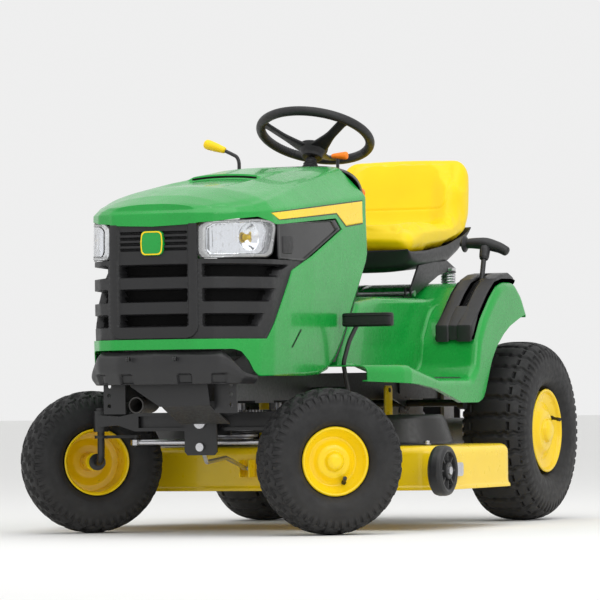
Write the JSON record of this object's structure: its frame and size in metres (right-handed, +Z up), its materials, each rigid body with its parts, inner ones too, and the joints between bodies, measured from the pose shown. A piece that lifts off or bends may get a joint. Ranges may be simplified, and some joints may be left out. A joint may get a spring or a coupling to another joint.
{
  "type": "riding lawn mower",
  "caption": "Ride-on lawn tractor with a front engine under a tilting hood, steered front wheels, a sprung bucket seat and a side-discharge mowing deck that a lever raises.",
  "frame": {"origin": "middle of the footprint box, on the ground", "axes": "+X to the driver's left, +Y to the rear, +Z up; the front of the machine faces -Y"},
  "size_m": [1.2599, 1.8404, 1.1463],
  "materials": {
    "green_paint": "glossy moulded and painted green",
    "yellow_paint": "gloss yellow enamel",
    "yellow_seat": "smooth yellow vinyl",
    "black_plastic": "fine-textured black",
    "black_steel": "satin black powder coat",
    "tyre_rubber": "matt black rubber",
    "lens": "clear moulded lens",
    "bright_steel": "zinc plated",
    "blade_steel": "ground steel",
    "cast_grey": "bead-blasted casting",
    "orange_plastic": "orange knob",
    "yellow_plastic": "yellow knob",
    "belt_rubber": "cord-backed rubber",
    "exhaust_steel": "heat-proof coating"
  },
  "bodies": {
    "chassis": {"left_frame_rail": "black_steel", "right_frame_rail": "black_steel", "frame_brackets": "black_steel", "front_bumper": "black_plastic", "engine_block": "cast_grey", "engine_shroud": "black_plastic", "exhaust": "exhaust_steel", "fuel_tank": "black_plastic", "battery": "black_plastic", "dash_tower": "black_plastic", "dashboard": "green_paint", "fender_body": "green_paint", "lift_console": "black_plastic", "transaxle": "cast_grey", "hitch_plate": "black_steel", "seat_springs": "black_steel", "seat_bracket": "black_steel", "fasteners": "bright_steel", "drive_belt": "belt_rubber"},
    "hood": {"hood_shell": "green_paint", "grille": "black_plastic", "headlights": "lens", "side_panels": "black_plastic"},
    "front_axle": {"front_axle_beam": "black_steel"},
    "left_knuckle": {"left_knuckle": "black_steel"},
    "right_knuckle": {"right_knuckle": "black_steel"},
    "left_front_wheel": {"front_tyre_left": "tyre_rubber", "front_rim_left": "yellow_paint"},
    "right_front_wheel": {"front_tyre_right": "tyre_rubber", "front_rim_right": "yellow_paint"},
    "tie_rod": {"tie_rod": "bright_steel"},
    "drag_link": {"drag_link": "bright_steel"},
    "sector": {"sector_gear": "blade_steel"},
    "pinion": {"steering_pinion": "blade_steel"},
    "steering": {"steering_wheel": "black_plastic", "steering_shaft": "black_steel"},
    "left_rear_wheel": {"rear_tyre_left": "tyre_rubber", "rear_rim_left": "yellow_paint"},
    "right_rear_wheel": {"rear_tyre_right": "tyre_rubber", "rear_rim_right": "yellow_paint"},
    "seat": {"seat_cushion": "yellow_seat", "seat_base": "black_plastic"},
    "brake_pedal": {"brake_pedal": "black_plastic"},
    "forward_pedal": {"forward_pedal": "black_plastic"},
    "reverse_pedal": {"reverse_pedal": "black_plastic"},
    "pto_lever": {"pto_lever": "yellow_plastic"},
    "throttle": {"throttle_lever": "orange_plastic"},
    "choke": {"choke_knob": "orange_plastic"},
    "lift": {"lift_lever": "black_steel", "lift_handle": "black_plastic"},
    "lift_button": {"lift_button": "black_plastic"},
    "deck": {"deck_shell": "yellow_paint", "belt_covers": "black_plastic"},
    "left_blade": {"left_spindle": "blade_steel"},
    "right_blade": {"right_spindle": "blade_steel"},
    "left_gauge": {"left_gauge_wheel": "black_plastic"},
    "right_gauge": {"right_gauge_wheel": "black_plastic"},
    "chute": {"discharge_chute": "black_plastic"},
    "draft_rod": {"draft_rod": "bright_steel"},
    "engine_pulley": {"engine_pulley": "blade_steel"}
  },
  "joints": [
    {"name": "hood_tilt", "type": "hinge", "parent": "chassis", "child": "hood", "pos_m": [0.0395, -0.91375, 0.454], "axis": [1, 0, 0], "range_deg": [0, 70]},
    {"name": "axle_rock", "type": "hinge", "parent": "chassis", "child": "front_axle", "pos_m": [0.0395, -0.57675, 0.29], "axis": [0, 1, 0], "range_deg": [-5, 5]},
    {"name": "left_steer", "type": "hinge", "parent": "front_axle", "child": "left_knuckle", "pos_m": [0.3495, -0.57675, 0.295], "axis": [0, 0, 1], "range_deg": [0, 98]},
    {"name": "right_steer", "type": "hinge", "parent": "front_axle", "child": "right_knuckle", "pos_m": [-0.2705, -0.57675, 0.295], "axis": [0, 0, 1], "range_deg": [0, 98]},
    {"name": "left_front_spin", "type": "hinge", "parent": "left_knuckle", "child": "left_front_wheel", "pos_m": [0.41379, -0.65071, 0.188], "axis": [0.6561, -0.7547, 0], "continuous": true},
    {"name": "right_front_spin", "type": "hinge", "parent": "right_knuckle", "child": "right_front_wheel", "pos_m": [-0.33479, -0.50279, 0.188], "axis": [0.6561, -0.7547, 0], "continuous": true},
    {"name": "tie_rod_swing", "type": "hinge", "parent": "left_knuckle", "child": "tie_rod", "pos_m": [0.42044, -0.51508, 0.238], "axis": [0, 0, 1], "range_deg": [-98, 0]},
    {"name": "drag_link_swing", "type": "hinge", "parent": "left_knuckle", "child": "drag_link", "pos_m": [0.39478, -0.53739, 0.273], "axis": [0, 0, 1], "range_deg": [-98, 0]},
    {"name": "sector_swing", "type": "hinge", "parent": "chassis", "child": "sector", "pos_m": [-0.0685, -0.11975, 0.33], "axis": [0, 0, 1], "range_deg": [0, 98]},
    {"name": "pinion_turn", "type": "hinge", "parent": "chassis", "child": "pinion", "pos_m": [0.0395, -0.11975, 0.33], "axis": [0, 0, 1], "range_deg": [-490, 0]},
    {"name": "steering_turn", "type": "hinge", "parent": "chassis", "child": "steering", "pos_m": [0.0395, 0.15025, 1.072], "axis": [0, 0.4003, 0.9164], "range_deg": [-490, 0]},
    {"name": "left_rear_spin", "type": "hinge", "parent": "chassis", "child": "left_rear_wheel", "pos_m": [0.4345, 0.66925, 0.251], "axis": [1, 0, 0], "continuous": true},
    {"name": "right_rear_spin", "type": "hinge", "parent": "chassis", "child": "right_rear_wheel", "pos_m": [-0.3555, 0.66925, 0.251], "axis": [1, 0, 0], "continuous": true},
    {"name": "seat_tip", "type": "hinge", "parent": "chassis", "child": "seat", "pos_m": [0.0395, 0.35825, 0.637], "axis": [1, 0, 0], "range_deg": [0, 50]},
    {"name": "brake_press", "type": "hinge", "parent": "chassis", "child": "brake_pedal", "pos_m": [0.3095, -0.27675, 0.37], "axis": [1, 0, 0], "range_deg": [0, 20], "stiffness_Nm_per_rad": 40, "springref_deg": -5.73},
    {"name": "forward_press", "type": "hinge", "parent": "chassis", "child": "forward_pedal", "pos_m": [-0.2465, -0.24675, 0.366], "axis": [1, 0, 0], "range_deg": [0, 15], "stiffness_Nm_per_rad": 20, "springref_deg": -5.73},
    {"name": "reverse_press", "type": "hinge", "parent": "chassis", "child": "reverse_pedal", "pos_m": [-0.2825, -0.20475, 0.366], "axis": [1, 0, 0], "range_deg": [0, 15], "stiffness_Nm_per_rad": 20, "springref_deg": -5.73},
    {"name": "pto_pull", "type": "hinge", "parent": "chassis", "child": "pto_lever", "pos_m": [-0.1305, 0.01525, 0.93], "axis": [1, 0, 0], "range_deg": [-20, 20]},
    {"name": "throttle_set", "type": "hinge", "parent": "chassis", "child": "throttle", "pos_m": [0.1575, 0.02725, 0.93], "axis": [1, 0, 0], "range_deg": [-25, 25]},
    {"name": "choke_pull", "type": "slide", "parent": "chassis", "child": "choke", "axis": [0, 0.9701, -0.2425], "range_m": [0, 0.015]},
    {"name": "lift_swing", "type": "hinge", "parent": "chassis", "child": "lift", "pos_m": [0.0395, 0.35325, 0.332], "axis": [1, 0, 0], "range_deg": [0, 28]},
    {"name": "button_press", "type": "slide", "parent": "lift", "child": "lift_button", "axis": [1, 0, 0], "range_m": [0, 0.004], "stiffness_N_per_m": 600, "springref_m": -0.002},
    {"name": "deck_drop", "type": "slide", "parent": "chassis", "child": "deck", "axis": [0, 0, 1], "range_m": [-0.0755, 0]},
    {"name": "left_blade_spin", "type": "hinge", "parent": "deck", "child": "left_blade", "pos_m": [0.3075, -0.03175, 0.113], "axis": [0, 0, 1], "continuous": true},
    {"name": "right_blade_spin", "type": "hinge", "parent": "deck", "child": "right_blade", "pos_m": [-0.2285, -0.03175, 0.113], "axis": [0, 0, 1], "continuous": true},
    {"name": "left_gauge_spin", "type": "hinge", "parent": "deck", "child": "left_gauge", "pos_m": [0.606, -0.35175, 0.1575], "axis": [1, 0, 0], "continuous": true},
    {"name": "right_gauge_spin", "type": "hinge", "parent": "deck", "child": "right_gauge", "pos_m": [-0.527, -0.35175, 0.1575], "axis": [1, 0, 0], "continuous": true},
    {"name": "chute_lift", "type": "hinge", "parent": "deck", "child": "chute", "pos_m": [-0.5075, -0.15675, 0.228], "axis": [0, 1, 0], "range_deg": [0, 60], "stiffness_Nm_per_rad": 0.8},
    {"name": "draft_swing", "type": "hinge", "parent": "chassis", "child": "draft_rod", "pos_m": [0.0395, -0.60675, 0.212], "axis": [1, 0, 0], "range_deg": [-17.5, 0]},
    {"name": "crank_spin", "type": "hinge", "parent": "chassis", "child": "engine_pulley", "pos_m": [0.0395, -0.40675, 0.25], "axis": [0, 0, 1], "continuous": true}
  ],
  "couplings": [
    {"joint": "right_steer", "follows": "left_steer", "ratio": 1},
    {"joint": "tie_rod_swing", "follows": "left_steer", "ratio": -1},
    {"joint": "drag_link_swing", "follows": "left_steer", "ratio": -1},
    {"joint": "sector_swing", "follows": "left_steer", "ratio": 1},
    {"joint": "pinion_turn", "follows": "left_steer", "ratio": -5},
    {"joint": "steering_turn", "follows": "left_steer", "ratio": -5},
    {"joint": "deck_drop", "follows": "lift_swing", "m_per_rad": -0.15347},
    {"joint": "draft_swing", "follows": "lift_swing", "ratio": -0.62}
  ]
}
